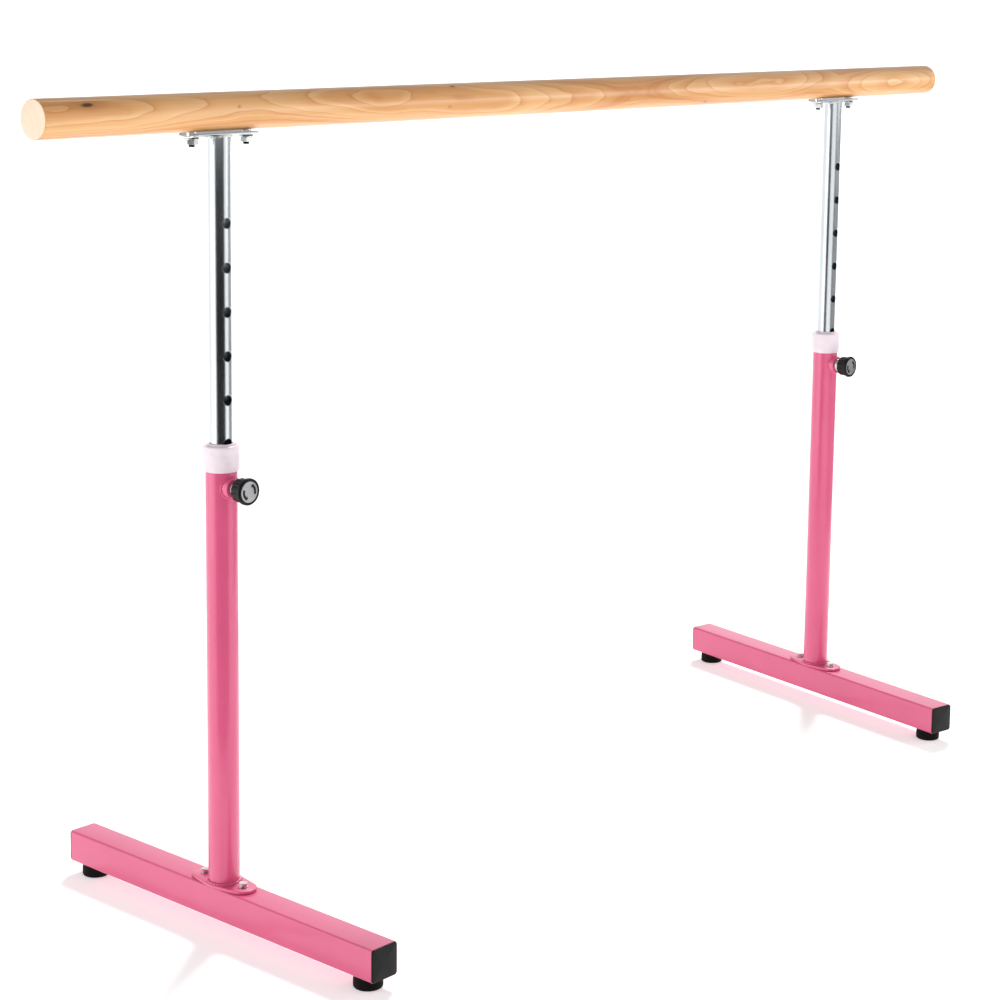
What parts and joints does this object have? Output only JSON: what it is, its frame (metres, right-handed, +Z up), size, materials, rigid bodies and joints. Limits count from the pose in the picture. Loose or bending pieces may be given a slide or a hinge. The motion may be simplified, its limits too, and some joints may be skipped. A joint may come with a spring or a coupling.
{
  "type": "ballet barre",
  "caption": "Free-standing ballet barre: round pine bar on two pink T-shaped stands, its height set by sprung pull pins in the sliding tubes.",
  "frame": {"origin": "on the floor, midway between the two stands, under the middle of the bar", "axes": "+X along the bar, -Y towards the side with the knobs, +Z up"},
  "size_m": [1.768, 0.55, 1.01],
  "materials": {
    "pine": "satin clear lacquer over straight-grained pine",
    "pink_powder_coat": "semi-gloss pink powder coat",
    "black_plastic": "fine-textured black plastic",
    "black_rubber": "matt black rubber",
    "milky_plastic": "milky, slightly translucent plastic",
    "white_plastic": "plain moulded plastic",
    "label_disc": "satin silver disc with two black curved arrows",
    "bright_zinc": "bright zinc-plated steel",
    "fastener_steel": "zinc-plated steel",
    "black_oxide_steel": "black-oxide thread",
    "spring_steel": "drawn spring wire"
  },
  "bodies": {
    "stands": {"left_base_tube": "pink_powder_coat", "left_end_caps": "black_plastic", "left_feet": "black_rubber", "left_foot_screws": "fastener_steel", "left_foot_nuts": "fastener_steel", "left_flange_plate": "pink_powder_coat", "left_flange_bolts": "fastener_steel", "left_flange_nuts": "fastener_steel", "left_post": "pink_powder_coat", "left_collar": "milky_plastic", "left_pin_boss": "pink_powder_coat", "left_pin_bushing": "fastener_steel", "left_pin_spring": "spring_steel", "right_base_tube": "pink_powder_coat", "right_end_caps": "black_plastic", "right_feet": "black_rubber", "right_foot_screws": "fastener_steel", "right_foot_nuts": "fastener_steel", "right_flange_plate": "pink_powder_coat", "right_flange_bolts": "fastener_steel", "right_flange_nuts": "fastener_steel", "right_post": "pink_powder_coat", "right_collar": "milky_plastic", "right_pin_boss": "pink_powder_coat", "right_pin_bushing": "fastener_steel", "right_pin_spring": "spring_steel"},
    "barre": {"bar": "pine", "left_tube": "bright_zinc", "left_tube_glide": "white_plastic", "left_saddle": "bright_zinc", "left_spacers": "fastener_steel", "left_studs": "black_oxide_steel", "left_stud_washers": "fastener_steel", "left_stud_nuts": "fastener_steel", "right_tube": "bright_zinc", "right_tube_glide": "white_plastic", "right_saddle": "bright_zinc", "right_spacers": "fastener_steel", "right_studs": "black_oxide_steel", "right_stud_washers": "fastener_steel", "right_stud_nuts": "fastener_steel"},
    "left_pin": {"left_pin": "fastener_steel"},
    "left_knob": {"left_knob": "black_plastic", "left_knob_disc": "label_disc"},
    "right_pin": {"right_pin": "fastener_steel"},
    "right_knob": {"right_knob": "black_plastic", "right_knob_disc": "label_disc"}
  },
  "joints": [
    {"name": "barre_height", "type": "slide", "parent": "stands", "child": "barre", "axis": [0, 0, 1], "range_m": [-0.312, 0]},
    {"name": "left_pin_pull", "type": "slide", "parent": "stands", "child": "left_pin", "axis": [0, -1, 0], "range_m": [0, 0.009], "stiffness_N_per_m": 900, "springref_m": -0.008, "deforming": ["left_pin_spring"]},
    {"name": "left_knob_turn", "type": "hinge", "parent": "left_pin", "child": "left_knob", "pos_m": [-0.624, -0.04, 0.547], "axis": [0, -1, 0], "range_deg": [0, 360]},
    {"name": "right_pin_pull", "type": "slide", "parent": "stands", "child": "right_pin", "axis": [0, -1, 0], "range_m": [0, 0.009], "stiffness_N_per_m": 900, "springref_m": -0.008, "deforming": ["right_pin_spring"]},
    {"name": "right_knob_turn", "type": "hinge", "parent": "right_pin", "child": "right_knob", "pos_m": [0.624, -0.04, 0.547], "axis": [0, -1, 0], "range_deg": [0, 360]}
  ]
}
